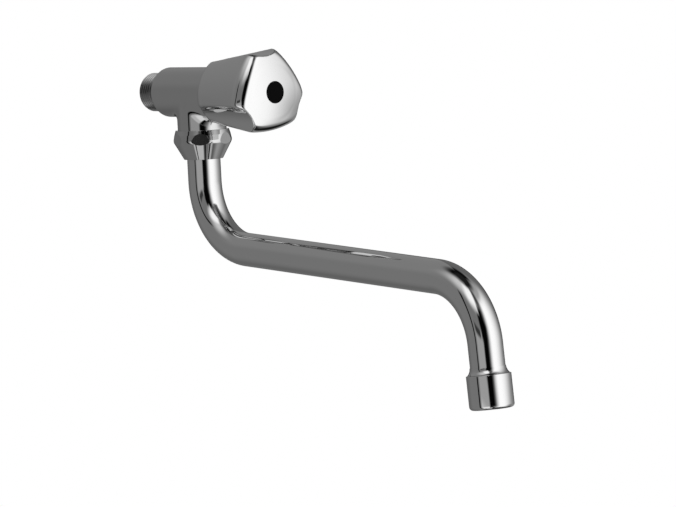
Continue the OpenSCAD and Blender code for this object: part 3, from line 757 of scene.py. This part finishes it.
spoutSizes = {"radius": 9.0, "wall": 1.0, "top": -24.0, "bendFrom": -48.3, "bend": 36.2,
              "slope": 3.45, "run": 153.4, "tilt": 5.1, "outlet": 15.3, "around": 128,
              "bendSteps": 56}  # mm and degrees


def makeSpout(v):
    bpy.ops.mesh.primitive_circle_add(vertices=v["around"], radius=v["radius"] * mm,
                                      location=(0, swivelAxis.y, v["top"] * mm))
    tube = bpy.context.object
    tube.name = "spoutTube"
    bpy.ops.object.transform_apply()
    editAll(tube)
    end = Vector((0, swivelAxis.y, v["top"] * mm))
    way = Vector((0, 0, -1))

    def straight(length):
        nonlocal end
        bpy.ops.mesh.extrude_edges_move(TRANSFORM_OT_translate={"value": way * length * mm})
        end = end + way * length * mm

    def bendBy(degrees, centre):
        nonlocal end, way
        turn = Matrix.Rotation(math.radians(degrees), 3, "X")
        bpy.ops.mesh.spin(steps=v["bendSteps"], angle=-math.radians(degrees), center=centre,
                          axis=(1, 0, 0))
        end = centre + turn @ (end - centre)
        way = turn @ way

    straight(v["top"] - v["bendFrom"])
    bendBy(v["slope"] - 90, end + Vector((0, -v["bend"] * mm, 0)))
    straight(v["run"])
    bendBy(90 - v["slope"] - v["tilt"], end + Vector((0, -way.z, way.y)) * v["bend"] * mm)
    straight(v["outlet"])
    bpy.ops.mesh.select_all(action="SELECT")
    bpy.ops.mesh.remove_doubles(threshold=weldGap)
    bpy.ops.mesh.normals_make_consistent(inside=False)
    leaveEdit()
    applyModifier(tube, "SOLIDIFY", thickness=v["wall"] * mm, offset=-1, use_even_offset=True)
    finish(tube, "spout", "chrome", drawnChrome, "spout_tube", angle=35)
    side = Vector((1, 0, 0))
    return Matrix((side, way.cross(side), way)).transposed().to_4x4(), end


outletTurn, outletEnd = makeSpout(spoutSizes)
print("spout ends at", [round(c * 1000, 2) for c in outletEnd])
onOutlet = Matrix.Translation(outletEnd) @ outletTurn


# outlet: a flared fitting that carries the aerator's housing

fittingSizes = {"flare": 3.8, "flareSteps": 16, "foot": 10.9, "top": 9.25, "lip": 0.2,
                "lipChamfer": 0.15, "thread": 10.0, "threadLength": 8.5, "threadChamfer": 0.5,
                "bore": 8.0, "socket": 9.025}  # mm


def makeFitting(v):
    step = v["foot"] - v["top"]
    hollowRadius = (step ** 2 + v["flare"] ** 2) / (2 * step)
    sweep = math.asin(v["flare"] / hollowRadius)
    angles = [sweep * k / v["flareSteps"] for k in range(v["flareSteps"] + 1)]
    flare = [(v["top"] + hollowRadius - hollowRadius * math.cos(a),
              -v["flare"] + hollowRadius * math.sin(a)) for a in angles]
    flare[-1] = (v["foot"], -v["lip"])
    end, chamfer = v["threadLength"], v["threadChamfer"]
    outline = flare + [(v["foot"] - v["lipChamfer"], 0), (v["thread"], 0),
                       (v["thread"], end - chamfer), (v["thread"] - chamfer, end),
                       (v["bore"], end), (v["bore"], 0), (v["socket"], 0),
                       (v["socket"], -v["flare"])]
    fitting = turned("outletFitting", [(r * mm, z * mm) for r, z in outline], onOutlet)
    finish(fitting, "spout", "chrome", drawnChrome, "outlet_fitting", angle=25)


makeFitting(fittingSizes)

housingSizes = {"radius": 11.5, "height": 17.5, "topEdge": 0.35, "footEdge": 2.0, "bore": 10.05,
                "boreEdge": 0.2, "jet": 8.3, "jetEdge": 0.3, "jetLip": 2.2, "edgeSteps": 10}  # mm


def makeHousing(v):
    r, high, lip = v["radius"], v["height"], v["height"] - v["jetLip"]
    outline = [(v["bore"], 0, v["boreEdge"]), (r, 0, v["topEdge"]), (r, high, v["footEdge"]),
               (v["jet"], high, v["jetEdge"]), (v["jet"], lip, 0), (v["bore"], lip, 0)]
    points = roundedOutline(outline, v["edgeSteps"])
    housing = turned("aeratorHousing", [p * mm for p in points], onOutlet)
    finish(housing, "spout", "chrome", drawnChrome, "aerator_housing", angle=25)


makeHousing(housingSizes)


# pieces that keep their construction and only get a finish

keptNodes = {
    "bonnet": brass, "valve_piston": brass, "washer_screw": brass, "spindle": brass,
    "swivel_sleeve": brass, "bonnet_gasket": rubber, "seat_washer": rubber, "spindle_seals": rubber,
    "swivel_seals": rubber, "aerator_gasket": rubber, "spindle_circlip": springSteel,
    "handle_screw": springSteel, "lower_slide_ring": springSteel, "glide_washer": acetal,
    "handle_adapter": acetal, "upper_slide_ring": acetal, "aerator_insert": acetal,
    "aerator_screens": meshSteel,
}
for name, material in keptNodes.items():
    node = frame["nodes"][name]
    node.data.materials.clear()
    node.data.materials.append(material)
print("finishes given")
